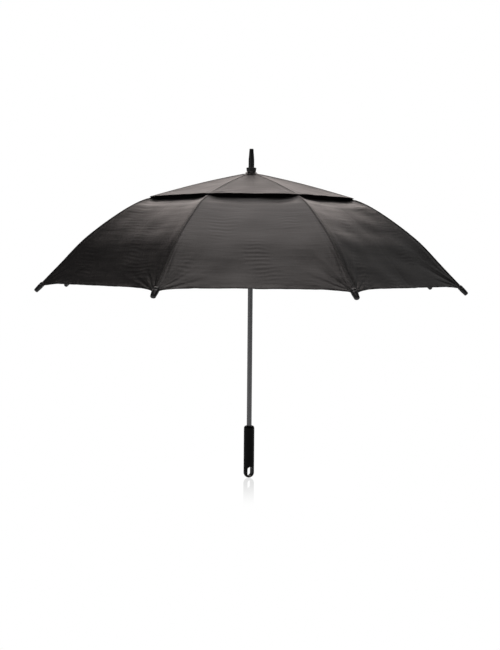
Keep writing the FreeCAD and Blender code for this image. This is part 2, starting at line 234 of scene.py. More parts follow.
def make_object(name, verts, faces, material, uvs=None):
    """Mesh object with smooth shading, its material and UV layers."""
    mesh = bpy.data.meshes.new(name)
    mesh.from_pydata([tuple(v) for v in verts], [], faces)
    mesh.validate()
    mesh.shade_smooth()
    for layer, coords in (uvs or {}).items():
        data = mesh.uv_layers.new(name=layer).data
        index = np.empty(len(mesh.loops), int)
        mesh.loops.foreach_get("vertex_index", index)
        data.foreach_set("uv", np.asarray(coords, float)[index].ravel())
    mesh.materials.append(material)
    obj = bpy.data.objects.new(name, mesh)
    bpy.context.scene.collection.objects.link(obj)
    return obj


def normals_of(points):
    """Unit normals of a grid of points, on the side that faces up and out."""
    n = np.cross(np.gradient(points, axis=1), np.gradient(points, axis=0))
    n /= np.linalg.norm(n, axis=2, keepdims=True)
    return n * np.sign(n[..., 2:3].mean())


def closed_sheet(name, top, bottom, cloth_uv, edge_uv, material):
    """Closed thin mesh between two grids of points of the same shape."""
    rows, cols, _ = top.shape
    size = rows * cols
    grid = np.arange(size).reshape(rows, cols)
    quads = np.stack([grid[:-1, :-1], grid[:-1, 1:], grid[1:, 1:], grid[1:, :-1]], -1).reshape(-1, 4)
    up = np.cross(top[0, 1] - top[0, 0], top[1, 1] - top[0, 0])[2] > 0
    if not up:
        quads = quads[:, ::-1]
    faces = quads.tolist() + (quads[:, ::-1] + size).tolist()
    ring = list(grid[0, :]) + list(grid[1:, -1]) + list(grid[-1, -2::-1]) + list(grid[-2:0:-1, 0])
    for a, b in zip(ring, ring[1:] + ring[:1]):
        side = [int(a), int(b), int(b) + size, int(a) + size]
        faces.append(side[::-1] if up else side)
    verts = np.concatenate([top.reshape(-1, 3), bottom.reshape(-1, 3)])
    uvs = {"cloth": np.tile(cloth_uv.reshape(-1, 2), (2, 1)), "edge": np.tile(edge_uv.reshape(-1, 2), (2, 1))}
    return make_object(name, verts, faces, material, uvs)


def unit(angle):
    return np.array([math.cos(angle), math.sin(angle), 0.0])


def rib_direction(index):
    return HALF_PITCH + PITCH * index


def lathe(name, profile, material, segments=96):
    """Closed solid of revolution from (radius, height) points in mm, both ends on the axis or a ring."""
    pts = np.array(profile, float) * MM
    on_axis = 1e-7
    ring = pts[0, 0] > on_axis
    verts, faces = [], []
    angles = np.linspace(0, 2 * math.pi, segments, endpoint=False)
    rows = []
    for r, z in pts:
        if r < on_axis:
            rows.append([len(verts)])
            verts.append((0, 0, z))
        else:
            rows.append(list(range(len(verts), len(verts) + segments)))
            verts += [(r * math.cos(a), r * math.sin(a), z) for a in angles]
    pairs = list(zip(rows, rows[1:])) + ([(rows[-1], rows[0])] if ring else [])
    for low, high in pairs:
        for i in range(segments):
            j = (i + 1) % segments
            quad = [low[i % len(low)], low[j % len(low)], high[j % len(high)], high[i % len(high)]]
            faces.append(list(dict.fromkeys(quad)))
    faces = [f for f in faces if len(f) > 2]
    return make_object(name, verts, faces, material)


def rounded(points, radius, steps=5):
    """Profile in mm with each inner corner rounded."""
    pts = [np.array(p, float) for p in points]
    out = [tuple(pts[0])]
    for before, corner, after in zip(pts, pts[1:], pts[2:]):
        a, b = before - corner, after - corner
        reach = min(radius, 0.45 * np.linalg.norm(a), 0.45 * np.linalg.norm(b))
        start, end = corner + a / np.linalg.norm(a) * reach, corner + b / np.linalg.norm(b) * reach
        for t in np.linspace(0, 1, steps):
            out.append(tuple((1 - t) ** 2 * start + 2 * t * (1 - t) * corner + t ** 2 * end))
    out.append(tuple(pts[-1]))
    return out


def keep_evaluated(obj):
    """Apply an object's modifiers to its mesh."""
    graph = bpy.context.evaluated_depsgraph_get()
    done = bpy.data.meshes.new_from_object(obj.evaluated_get(graph))
    obj.modifiers.clear()
    old = obj.data
    obj.data = done
    bpy.data.meshes.remove(old)


def round_path(name, points, radius, material, segments=8):
    """Closed round tube through a loop of points, in metres."""
    pts = [np.array(p, float) for p in points]
    verts, faces = [], []
    count = len(pts)
    for i, p in enumerate(pts):
        along = pts[(i + 1) % count] - pts[i - 1]
        along /= np.linalg.norm(along)
        side = np.cross(along, UP if abs(along[2]) < 0.9 else np.array([1.0, 0, 0]))
        side /= np.linalg.norm(side)
        other = np.cross(along, side)
        for j in range(segments):
            a = 2 * math.pi * j / segments
            verts.append(p + radius * (math.cos(a) * side + math.sin(a) * other))
    for i in range(count):
        for j in range(segments):
            k, m = (i + 1) % count, (j + 1) % segments
            faces.append([i * segments + j, i * segments + m, k * segments + m, k * segments + j])
    return make_object(name, verts, faces, material)


# ---------------------------------------------------------------- materials

class Nodes:
    """Small helper to write a material's node tree."""

    def __init__(self, name):
        self.material = bpy.data.materials.new(name)
        self.material.use_nodes = True
        self.tree = self.material.node_tree
        self.shader = self.tree.nodes["Principled BSDF"]

    def add(self, kind, **settings):
        node = self.tree.nodes.new(kind)
        for key, value in settings.items():
            setattr(node, key, value)
        return node

    def put(self, value, socket):
        if isinstance(value, bpy.types.NodeSocket):
            self.tree.links.new(value, socket)
        else:
            socket.default_value = value

    def math(self, operation, a, b=0.0, c=0.0, clamp=False):
        node = self.add("ShaderNodeMath", operation=operation, use_clamp=clamp)
        for socket, value in zip(node.inputs, (a, b, c)):
            self.put(value, socket)
        return node.outputs[0]

    def ramp(self, value, low, high, to_low=0.0, to_high=1.0):
        node = self.add("ShaderNodeMapRange", interpolation_type="SMOOTHSTEP")
        sockets = ("Value", "From Min", "From Max", "To Min", "To Max")
        for key, item in zip(sockets, (value, low, high, to_low, to_high)):
            self.put(item, node.inputs[key])
        return node.outputs["Result"]

    def noise(self, vector, scale, detail=3.0, roughness=0.5):
        node = self.add("ShaderNodeTexNoise")
        self.put(vector, node.inputs["Vector"])
        node.inputs["Scale"].default_value = scale
        node.inputs["Detail"].default_value = detail
        node.inputs["Roughness"].default_value = roughness
        return node.outputs[0]

    def stretch(self, vector, scale):
        node = self.add("ShaderNodeMapping")
        self.put(vector, node.inputs["Vector"])
        node.inputs["Scale"].default_value = scale
        return node.outputs[0]

    def uv(self, layer):
        return self.add("ShaderNodeUVMap", uv_map=layer).outputs[0]

    def place(self):
        return self.add("ShaderNodeTexCoord").outputs["Object"]

    def split(self, vector):
        node = self.add("ShaderNodeSeparateXYZ")
        self.put(vector, node.inputs[0])
        return node.outputs

    def blend_colours(self, factor, first, second):
        node = self.add("ShaderNodeMix", data_type="RGBA")
        self.put(factor, node.inputs[0])
        self.put((*first, 1.0), node.inputs[6])
        self.put((*second, 1.0), node.inputs[7])
        return node.outputs[2]

    def finish(self, colour=None, roughness=None, height=None, depth=MM, **constants):
        if colour is not None:
            self.put(colour, self.shader.inputs["Base Color"])
        if roughness is not None:
            self.put(roughness, self.shader.inputs["Roughness"])
        if height is not None:
            bump = self.add("ShaderNodeBump")
            bump.inputs["Distance"].default_value = depth
            self.put(height, bump.inputs["Height"])
            self.tree.links.new(bump.outputs[0], self.shader.inputs["Normal"])
        for key, value in constants.items():
            self.shader.inputs[key.replace("_", " ")].default_value = value
        return self.material


def cloth_material(name, dark, light, stitched, roughness):
    """Black pongee: fine plain weave, small puckers next to seams, and stitch rows."""
    n = Nodes(name)
    cloth = n.uv("cloth")
    across, along, _ = n.split(cloth)
    seam, hem, _ = n.split(n.uv("edge"))
    weft = n.math("SINE", n.math("MULTIPLY", across, 2 * math.pi / WEAVE_PITCH))
    warp = n.math("SINE", n.math("MULTIPLY", along, 2 * math.pi / WEAVE_PITCH))
    weave = n.math("MULTIPLY", n.math("MULTIPLY", weft, warp), 0.012)
    pucker = n.noise(n.stretch(cloth, (22, 230, 1)), 1.0, 2.0)
    near_seam = n.ramp(seam, 0.0, 0.045, 1.0, 0.18)
    puckers = n.math("MULTIPLY", n.math("SUBTRACT", pucker, 0.5), n.math("MULTIPLY", near_seam, 0.55))
    slack = n.math("MULTIPLY", n.noise(n.stretch(cloth, (9, 60, 1)), 1.0, 2.0), 0.5)
    height = n.math("ADD", weave, n.math("ADD", puckers, slack))
    sewn_along, edge = (across, hem) if stitched == "hem" else (along, seam)
    beat = n.math("FRACT", n.math("DIVIDE", sewn_along, STITCH_PITCH))
    thread = n.math("LESS_THAN", beat, STITCH_SHARE)
    from_row = n.math("ABSOLUTE", n.math("SUBTRACT", edge, STITCH_ROWS[stitched]))
    line = n.ramp(from_row, 0.2 * MM, 0.42 * MM, 1.0, 0.0)
    stitch = n.math("MULTIPLY", line, thread)
    height = n.math("ADD", height, n.math("MULTIPLY", stitch, 0.10))
    height = n.math("SUBTRACT", height, n.math("MULTIPLY", line, 0.08))
    tone = n.noise(n.stretch(cloth, (5, 7, 1)), 1.0, 4.0)
    colour = n.blend_colours(tone, dark, light)
    mix = n.add("ShaderNodeMix", data_type="RGBA")
    n.put(n.math("MULTIPLY", stitch, 0.6), mix.inputs[0])
    n.put(colour, mix.inputs[6])
    n.put((0.035, 0.034, 0.034, 1.0), mix.inputs[7])
    rough = n.ramp(tone, 0.25, 0.75, roughness - 0.03, roughness + 0.03)
    return n.finish(
        mix.outputs[2], rough, height, IOR=1.5, Specular_IOR_Level=0.5, Specular_Tint=(1.0, 0.955, 0.93, 1.0),
    )


def metal_material(name, colour, brighter, roughness, brushed, metallic):
    """Brushed, drawn or lacquered metal, its grain stretched by brushed."""
    n = Nodes(name)
    place = n.place()
    grain = n.noise(n.stretch(place, brushed), 1.0, 3.0)
    patches = n.noise(place, 60.0, 4.0)
    tint = n.blend_colours(n.math("MULTIPLY", n.math("ADD", grain, patches), 0.5), colour, brighter)
    rough = n.ramp(patches, 0.3, 0.7, roughness - 0.05, roughness + 0.07)
    return n.finish(tint, rough, grain, 0.02 * MM, Metallic=metallic)


def moulded_material(name, colour, brighter, roughness, texture, depth, gloss):
    """Moulded black plastic or rubber with a fine spark-eroded texture, random tone, and a painted highlight
    that lightens its convex edges.
    """
    n = Nodes(name)
    place = n.place()
    fine = n.noise(place, texture, 4.0, 0.6)
    broad = n.noise(place, 60.0, 3.0)
    # painted highlight: convex edges and rims are lightened by pointiness
    painted_edge_highlight = n.ramp(n.add("ShaderNodeNewGeometry").outputs["Pointiness"], 0.52, 0.6, 0.0, 0.6)
    factor = n.math("ADD", n.math("MULTIPLY", broad, 0.5), painted_edge_highlight, clamp=True)
    rough = n.ramp(broad, 0.3, 0.7, roughness - 0.04, roughness + 0.06)
    return n.finish(n.blend_colours(factor, colour, brighter), rough, fine, depth, Specular_IOR_Level=gloss)


def grey(level, blue=0.0):
    """Neutral colour, a little bluer by the given amount."""
    return (level, level, level + blue)


CLOTH = cloth_material(
    "canopy_pongee", (0.0125, 0.0120, 0.0122), (0.0165, 0.0155, 0.0155), "hem", 0.47,
)
# the cap's copy of the same pongee is painted a little lighter: painted light, where the cap faces up to the
# lights
CAP_CLOTH = cloth_material(
    "canopy_cap_pongee", (0.0135, 0.0130, 0.0132), (0.0185, 0.0172, 0.0172), "hem", 0.58,
)
# the seam strips' copy of the same pongee is painted darker: painted shade along the seams
SEAM_CLOTH = cloth_material(
    "canopy_seam_tape", (0.0095, 0.0090, 0.0091), (0.0130, 0.0122, 0.0120), "seam", 0.53,
)
SHAFT = metal_material(
    "grey_anodised_tube", grey(0.150, 0.004), grey(0.215, 0.004), 0.28, (900, 900, 12), 0.85,
)
RIB = metal_material(
    "black_fibreglass_rod", grey(0.012, 0.001), grey(0.026, 0.002), 0.30, (700, 700, 700), 0.0,
)
STRUT = metal_material(
    "black_lacquered_strut", grey(0.016, 0.001), grey(0.035, 0.002), 0.34, (500, 500, 500), 0.25,
)
WIRE = metal_material(
    "galvanised_wire", grey(0.42, 0.01), grey(0.58, 0.01), 0.34, (600, 600, 600), 1.0,
)
SPRING = metal_material(
    "spring_steel", grey(0.40, 0.01), grey(0.52, 0.01), 0.28, (60, 900, 60), 1.0,
)
RUBBER = moulded_material(
    "soft_grip_rubber", grey(0.0014), grey(0.0040), 0.44, 2600.0, 0.05 * MM, 0.15,
)
PLASTIC = moulded_material(
    "black_moulded_plastic", grey(0.012, 0.0002), grey(0.030, 0.001), 0.36, 1800.0, 0.03 * MM, 0.55,
)
THREAD = moulded_material(
    "black_thread", grey(0.02), grey(0.05), 0.6, 6000.0, 0.05 * MM, 0.3,
)


# ---------------------------------------------------------------- canopy

def gore_base(line, index, s, across):
    """Points of the cloth stretched straight from rib to rib: s along it, and across from -1 to 1."""
    middle = rib_direction(index) + HALF_PITCH
    r, z = on_line(line, CAP_RUN if line is CAP_LINE else SKIRT_RUN, s)
    half = r * math.sin(HALF_PITCH) - SEAM_SPLIT
    out = r[..., None] * math.cos(HALF_PITCH) * unit(middle)
    return out + (across * half)[..., None] * unit(middle + math.pi / 2) + z[..., None] * UP, half


def corner_folds(x, s, half_end, length, corner_angle, lobes, height, reach, seed):
    """Folds that fan out from both lower corners of a gore, where its tip pulls."""
    total = np.zeros_like(x)
    rng = np.random.default_rng(seed)
    for side in (-1, 1):
        dx, ds = half_end - side * x, length - s
        rho = np.hypot(dx, ds)
        theta = np.arctan2(ds, dx) / corner_angle
        phase = rng.uniform(0, 2 * np.pi)
        bend = 0.35 * np.sin(3.1 * theta + phase) + 0.25 * waves(x, s, seed + 3 + side, 0.05)
        window = np.clip(np.sin(np.pi * np.clip(theta, 0, 1)), 0, 1) ** 0.6
        uneven = 0.8 + 0.3 * waves(x, s, seed + 7 + side, 0.08)
        swell = (1 - np.exp(-rho / 0.014)) * bell(rho, reach) * uneven
        turn = 2 * np.pi * lobes * theta + phase + bend
        crests = 0.64 - np.abs(np.sin(turn / 2 + 0.6))
        total += height * (0.45 * np.sin(turn) + 1.05 * crests) * window * swell
    return total


def skirt_relief(x, s, half, length, half_end, seed):
    """Height of the lower canopy's cloth over its straight base, in metres."""
    v = x / half
    f = s / length
    seam = half - np.abs(x)

    # sag between the ribs
    places = [0, 0.035, 0.075, 0.13, 0.22, 0.5, 0.85, 1]
    sag = np.interp(f, places, [0.5, 3.0, 7.6, 8.2, 6.8, 8.0, 4.5, 1.0]) * MM
    relief = -sag * (1 - np.abs(v) ** np.interp(f, [0.05, 0.2], [7.0, 2.0]))

    # folds from the tips: narrow ones close by, broad ones further up
    angle = math.pi / 2 - math.atan2(half_end - half_end * TOP_WIDTH_SHARE, length)
    relief += corner_folds(x, s, half_end, length, angle, 4.4, 5.6 * MM, 0.080, seed)
    relief += corner_folds(x, s, half_end, length, angle, 1.7, 4.2 * MM, 0.15, seed + 20)

    # ripples along the top edge, and finer ones in patches lower down
    wander = 0.007 * waves(x, s, seed + 40, 0.16) + 0.002 * waves(x, s, seed + 46, 0.045)
    top = np.exp(-s / 0.05) * step(seam, 0.004, 0.03)
    relief += 0.8 * MM * np.sin(2 * np.pi * (s + wander) / 0.027) * top
    patch = np.clip(waves(x, s, seed + 41, 0.13), 0, 1) * step(seam, 0.01, 0.06)
    relief += 0.19 * MM * np.sin(2 * np.pi * (s + wander) / 0.0130) * patch * step(s, 0.02, 0.08)

    # crease down the middle, deeper at both ends, and a wavy hem
    crease = bell(x - 0.004 * waves(s, s * 0, seed + 44, 0.3), 0.0022)
    relief -= 0.55 * MM * crease * (0.35 + 0.9 * step(f, 0.8, 1.0) + 0.5 * (1 - step(f, 0.0, 0.2)))
    ripple = waves(x, x * 0, seed + 45, 0.03) * step(f, 0.93, 1.0) * step(seam, 0.02, 0.06)
    relief += 0.7 * MM * ripple

    # hollow beside each seam with a swell past it, and a groove close to the seam
    lower = step(f, 0.25, 0.95)
    depth = (0.9 + 0.5 * waves(s, x * 0, seed + 47, 0.2)) * MM
    relief -= depth * bell(seam - 0.0085 - 0.002 * waves(s, s * 0, seed + 42, 0.12), 0.0028) * lower
    relief += 0.5 * MM * bell(seam - 0.019, 0.006) * lower
    relief -= 0.7 * MM * bell(seam - 0.0042, 0.0020) * step(f, 0.15, 0.4)

    # broad unevenness
    relief += 0.7 * MM * waves(x, s, seed + 43, 0.11) * step(seam, 0.0, 0.05)
    return relief


def cap_relief(x, s, half, length, half_end, seed):
    """Height of the vent cap's cloth over its straight base, in metres."""
    v = x / half
    f = s / length
    seam = half - np.abs(x)

    # sag between the ribs, and a hem that lifts
    relief = -3.5 * MM * (1 - v ** 2) * np.sin(np.pi * np.clip(f, 0, 1)) ** 0.8
    relief += 1.2 * MM * (1 - v ** 6) * step(f, 0.8, 1.0)

    # folds from the corners
    angle = math.pi / 2 - math.atan2(half_end, length)
    relief += corner_folds(x, s, half_end, length, angle, 3.4, 1.7 * MM, 0.065, seed)
    relief += corner_folds(x, s, half_end, length, angle, 1.3, 1.6 * MM, 0.11, seed + 20)

    # crease down the middle
    relief -= 0.25 * MM * bell(x - 0.003 * waves(s, s * 0, seed + 44, 0.3), 0.002) * step(f, 0.0, 0.3)

    # hollow beside each seam with a swell past it
    lower = step(f, 0.45, 0.95)
    relief -= 0.6 * MM * bell(seam - 0.0100, 0.0042) * lower
    relief += 0.4 * MM * bell(seam - 0.0175, 0.0055) * lower

    # broad unevenness
    relief += 0.45 * MM * waves(x, s, seed + 43, 0.075) * step(seam, 0.0, 0.03) * step(f, 0.1, 0.4)
    return relief


def cloth_piece(
    name, line, run, index, start, end, relief, shape, seed, material, lift=0.0, arch=0.0, roll=True,
):
    """One gore of cloth from rib to rib, as a closed thin sheet. The middle of its hem is higher by arch."""
    rows, cols = shape
    total = end - start
    f, v = np.meshgrid(np.linspace(0, 1, rows), np.linspace(-1, 1, cols), indexing="ij")
    crowding = np.pi / 2 * 0.86
    v = np.sin(v * crowding) / math.sin(crowding)
    hem = total - (total * f - arch * (1 - np.abs(v) ** HEM_ARCH_POWER) * f ** 3)
    s = end - hem
    base, half = gore_base(line, index, s, v)
    x = v * half
    half_end = float(np.interp(end, run, line[:, 0])) * math.sin(HALF_PITCH)
    height = relief(x, s, half, end, half_end, seed) + lift if relief else np.full_like(x, lift)
    hem = hem - hem[-1:, :]
    thick = np.full_like(x, CLOTH_THICK)
    if roll:
        turned = 1 - step(hem, HEM_WIDTH - 1.2 * MM, HEM_WIDTH)
        edge = bell(hem - 1.0 * MM, 1.3 * MM)
        thick += turned * HEM_TURN + edge * HEM_ROLL
        height = height + turned * 0.2 * MM + edge * HEM_ROLL * 0.6
    out = normals_of(base)
    top = base + out * height[..., None]
    bottom = base + out * (height - thick)[..., None]
    cloth_uv = np.stack([x, s], -1)
    edge_uv = np.stack([half - np.abs(x), hem], -1)
    return closed_sheet(name, top, bottom, cloth_uv, edge_uv, material)


def strip_along_rib(name, line, run, index, s, half, top_rise, bottom_rise, wobble=0.0):
    """Closed strip of cloth that follows a rib, bent along it to lie on the two gores beside it.

    The rises are functions of the distance from the rib.
    """
    rows = len(s)
    r, z = on_line(line, run, s)
    along = rib_direction(index)
    radial, sideways = unit(along), unit(along + math.pi / 2)
    tangent = np.gradient(np.stack([r, z], 1), axis=0)
    tangent /= np.linalg.norm(tangent, axis=1, keepdims=True)
    outward = tangent[:, 1:] * -radial + tangent[:, :1] * UP
    columns = np.linspace(-1, 1, 11)
    top = np.empty((rows, len(columns), 3))
    bottom = np.empty_like(top)
    drift = wobble * waves(s, s * 0, index + 200, 0.05)
    for i, c in enumerate(columns):
        beside = math.cos(HALF_PITCH) * sideways * math.copysign(1, c) - math.sin(HALF_PITCH) * radial
        reach = abs(c) * half + drift * (1 - abs(c))
        base = r[:, None] * radial + z[:, None] * UP + reach[:, None] * beside
        top[:, i] = base + outward * top_rise(abs(c) * half)[:, None]
        bottom[:, i] = base + outward * bottom_rise(abs(c) * half)[:, None]
    x = columns * half[:, None]
    cloth_uv = np.stack([x, np.tile(s[:, None], (1, len(columns)))], -1)
    edge_uv = np.stack([half[:, None] - np.abs(x), np.full_like(x, 0.05)], -1)
    return closed_sheet(name, top, bottom, cloth_uv, edge_uv, SEAM_CLOTH)


def seam_band(name, line, run, index, start, end, rows):
    """Felled seam: a low rounded ridge on top of the two gores."""
    s = np.linspace(start, end, rows)
    half = BAND_HALF * (1 - 0.6 * bell(end - s, 2 * MM))

    def top_rise(x):
        return 0.12 * MM + BAND_LIFT * (1 - (x / half) ** 2.2)

    def bottom_rise(x):
        return np.full_like(x, -0.22 * MM)

    return strip_along_rib(name, line, run, index, s, half, top_rise, bottom_rise, 0.35 * MM)


def seam_tape(name, line, run, index, start, end, rows, narrow):
    """Seam allowance: a wider tape inside, under the two gores, that closes the seam when they fold."""
    s = np.linspace(start, end, rows)
    r, _ = on_line(line, run, s)
    half = np.minimum(TAPE_HALF, 0.36 * r) * np.interp(end - s, [0, 14 * MM], [narrow, 1.0])

    def top_rise(x):
        return -(0.5 * MM + TAPE_SLOPE * x)

    def bottom_rise(x):
        return top_rise(x) - TAPE_THICK

    return strip_along_rib(name, line, run, index, s, half, top_rise, bottom_rise)


def build_skirt_gore(index):
    """Lower canopy between two ribs."""
    n = str(index + 1)
    gore = cloth_piece(
        "canopy_gore_cloth_" + n, SKIRT_LINE, SKIRT_RUN, index, 0.0, SKIRT_RUN[-1],
        skirt_relief, SKIRT_MESH, 100 + 11 * index, CLOTH, arch=SKIRT_CORNER_REACH,
    )
    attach(gore, "canopy_panel_" + n)
    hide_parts("canopy_gore_" + n)
    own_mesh(gore)


def build_cap_gore(index):
    """Vent cap between two ribs."""
    n = str(index + 1)
    start, end = at_radius(CAP_LINE, CAP_RUN, CAP_START_R), CAP_RUN[-1]
    gore = cloth_piece(
        "vent_gore_cloth_" + n, CAP_LINE, CAP_RUN, index, start, end,
        cap_relief, CAP_MESH, 500 + 11 * index, CAP_CLOTH, arch=CAP_CORNER_REACH,
    )
    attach(gore, "vent_panel_" + n)
    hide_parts("vent_gore_" + n)
    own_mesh(gore)


def build_crown_patch(index):
    """Patch over the top of a cap gore, held by the washer and pulled by the gore."""
    n = str(index + 1)
    end = at_radius(CAP_LINE, CAP_RUN, PATCH_END_R)
    patch = cloth_piece(
        "crown_patch_" + n, CAP_LINE, CAP_RUN, index, PATCH_INSET, end,
        None, PATCH_MESH, 0, CAP_CLOTH, lift=PATCH_LIFT, roll=False,
    )
    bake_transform(patch)


def sew_strip(strip, body):
    """Ride a seam's strip on its rib."""
    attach(strip, body)


def build_seams(index):
    """Raised seams on top of a rib's two gores, and the tapes inside them."""
    n = str(index + 1)
    cap_end = CAP_RUN[-1]
    cap, skirt = (CAP_LINE, CAP_RUN), (SKIRT_LINE, SKIRT_RUN)
    inner, outer = "rib_inner_" + n, "rib_outer_" + n
    skirt_seam_start = at_radius(*skirt, SKIRT_SEAM_START_R)
    for name, body, profile, start, end, rows in (
        ("cap_seam_", inner, cap, at_radius(*cap, CAP_SEAM_START_R), cap_end - 3 * MM, CAP_SEAM_ROWS),
        ("skirt_seam_", outer, skirt, skirt_seam_start, SKIRT_END - 0.3 * MM, SKIRT_SEAM_ROWS),
    ):
        strip = seam_band(name + n, *profile, index, start, end, rows)
        sew_strip(strip, body)
    for name, body, profile, start, end, rows, narrow in (
        ("cap_tape_", inner, cap, at_radius(*cap, CAP_TAPE_START_R), cap_end - 2 * MM, CAP_SEAM_ROWS, 0.4),
        ("skirt_tape_", outer, skirt, 4 * MM, SKIRT_END + 4 * MM, SKIRT_SEAM_ROWS, 0.7),
    ):
        strip = seam_tape(name + n, *profile, index, start, end, rows, narrow)
        sew_strip(strip, body)


def build_canopy():
    for index in range(RIBS):
        build_skirt_gore(index)
        build_cap_gore(index)
        build_crown_patch(index)
        build_seams(index)


# ---------------------------------------------------------------- fittings

def stadium_prism(half_width, straight, depth):
    """Stadium-shaped prism through the slot, from sizes in mm."""
    bm = bmesh.new()
    ring = []
    count = 64
    for k in range(count):
        a = 2 * math.pi * k / count
        y, z = half_width * math.cos(a), half_width * math.sin(a)
        ring.append((y, z + math.copysign(straight / 2, z) if abs(z) > 1e-9 else z))
    left = [bm.verts.new((-depth * MM, y * MM, z * MM)) for y, z in ring]
    right = [bm.verts.new((depth * MM, y * MM, z * MM)) for y, z in ring]
    bm.faces.new(left[::-1])
    bm.faces.new(right)
    for i in range(count):
        j = (i + 1) % count
        bm.faces.new([left[i], left[j], right[j], right[i]])
    mesh = bpy.data.meshes.new("slot_cutter")
    bmesh.ops.recalc_face_normals(bm, faces=bm.faces)
    bm.to_mesh(mesh)
    bm.free()
    cutter = bpy.data.objects.new("slot_cutter", mesh)
    bpy.context.scene.collection.objects.link(cutter)
    cutter.rotation_euler = (0, 0, SLOT_ANGLE)
    cutter.location = (0, 0, SLOT_Z * MM)
    return cutter


def handle_profile():
    """Outline of the grip and its bore, in mm: round end, sides, groove, shoulder, bore."""
    quarter = [math.radians(a) for a in range(0, 91, 5)]
    dome = [(HANDLE_R * math.sin(a), HANDLE_R * (1 - math.cos(a))) for a in quarter]
    sides = [(HANDLE_R, z) for z in (30, 50, 75, 100, 125, 141)]
    groove = [
        (HANDLE_R, 141.6), (HANDLE_R - 0.5, 142.1), (HANDLE_R - 0.5, 142.5),
        (HANDLE_R - 0.15, HANDLE_SHOULDER_Z),
    ]
    turn = [math.radians(a) for a in range(6, 91, 7)]
    shoulder = [
        (8 + SHOULDER_R * math.cos(a), HANDLE_SHOULDER_Z + SHOULDER_R * math.sin(a)) for a in turn
    ]
    bore = [(SHAFT_R + 0.25, 149.7), (SHAFT_R + 0.15, 148.8), (SHAFT_R + 0.1, 42.0), (0.0, 41.0)]
    return dome + sides + groove + shoulder + bore


def build_handle():
    """Grip with a bore for the shaft, and the slot cut across its end with a soft rim."""
    grip = lathe("grip_body", handle_profile(), RUBBER, 144)
    cutter = stadium_prism(SLOT_WIDTH / 2, SLOT_HEIGHT - SLOT_WIDTH, 4 * HANDLE_R)
    cut = grip.modifiers.new("slot", "BOOLEAN")
    cut.operation, cut.solver, cut.object = "DIFFERENCE", "EXACT", cutter
    keep_evaluated(grip)
    bpy.data.objects.remove(cutter)
    rim = grip.modifiers.new("rim", "BEVEL")
    rim.width, rim.segments = 0.9 * MM, 3
    rim.limit_method, rim.angle_limit = "ANGLE", math.radians(38)
    keep_evaluated(grip)
    grip.data.shade_smooth()
    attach(grip, "shaft")
    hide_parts("handle_grip")


def build_top():
    """Washer, collar and tapered spike of the ferrule, round the top of the shaft."""
    bore = SHAFT_R + 0.05
    spike = [
        (bore, SPIKE_Z), (8.0, SPIKE_Z), (8.0, SPIKE_TAPER_Z), (5.55, SPIKE_TOP_Z), (0, SPIKE_TOP_Z),
    ]
    spike_bore = [(0, 886.0), (bore, 885.6)]
    collar = [
        (bore, COLLAR_Z), (12.8, COLLAR_Z), (13.4, 871), (14.0, 876.2), (13.6, SPIKE_Z), (bore, SPIKE_Z),
    ]
    washer = [
        (bore, WASHER_Z), (16.9, WASHER_Z), (17.0, 862.9), (14.6, 864.1), (12.8, COLLAR_Z), (bore, COLLAR_Z),
    ]
    for name, node, profile in (
        ("spike", "ferrule_spike", rounded(spike, 1.1) + spike_bore),
        ("collar", "ferrule_collar", rounded(collar, 0.6)),
        ("washer", "canopy_washer", rounded(washer, 0.5)),
    ):
        piece = lathe(name, profile, PLASTIC)
        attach(piece, "shaft")
        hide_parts(node)


def tip_frame():
    """Centre of a rib tip's inner end in its rib's plane, and the directions along it and out of it."""
    s = at_radius(SKIRT_LINE, SKIRT_RUN, TIP_R)
    r, z = on_line(SKIRT_LINE, SKIRT_RUN, s)
    before = on_line(SKIRT_LINE, SKIRT_RUN, s - 0.002)
    along = np.array([r - before[0], z - before[1]])
    along /= np.linalg.norm(along)
    out = np.array([-along[1], along[0]])
    return np.array([r, z]) - out * OUTER_ROD_DEPTH, along, out


def build_tip(index):
    """Moulded rib tip: oval body with a step, a groove for the thread and a rounded end."""
    centre, along, out = tip_frame()
    segments = 40
    direction = rib_direction(index)
    outward, side = unit(direction), unit(direction + math.pi / 2)
    verts, faces = [], []
    for d, wide, thick in TIP_STATIONS:
        p = centre + along * (TIP_START + d) * MM
        for k in range(segments):
            a = 2 * math.pi * k / segments
            y = wide / 2 * MM * math.copysign(abs(math.cos(a)) ** TIP_SQUARENESS, math.cos(a))
            t = thick / 2 * MM * math.copysign(abs(math.sin(a)) ** TIP_SQUARENESS, math.sin(a))
            q = p + out * t
            verts.append(q[0] * outward + q[1] * UP + y * side)
    last = len(TIP_STATIONS) - 1
    for i in range(last):
        for k in range(segments):
            j = (k + 1) % segments
            faces.append([i * segments + k, i * segments + j, (i + 1) * segments + j, (i + 1) * segments + k])
    faces.append(list(range(segments))[::-1])
    faces.append(list(range(last * segments, (last + 1) * segments)))
    tip = make_object("tip_" + str(index + 1), verts, faces, PLASTIC)
    bm = bmesh.new()
    bm.from_mesh(tip.data)
    bmesh.ops.recalc_face_normals(bm, faces=bm.faces)
    bm.to_mesh(tip.data)
    bm.free()
    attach(tip, "rib_outer_" + str(index + 1))
    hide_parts("rib_tip_" + str(index + 1))


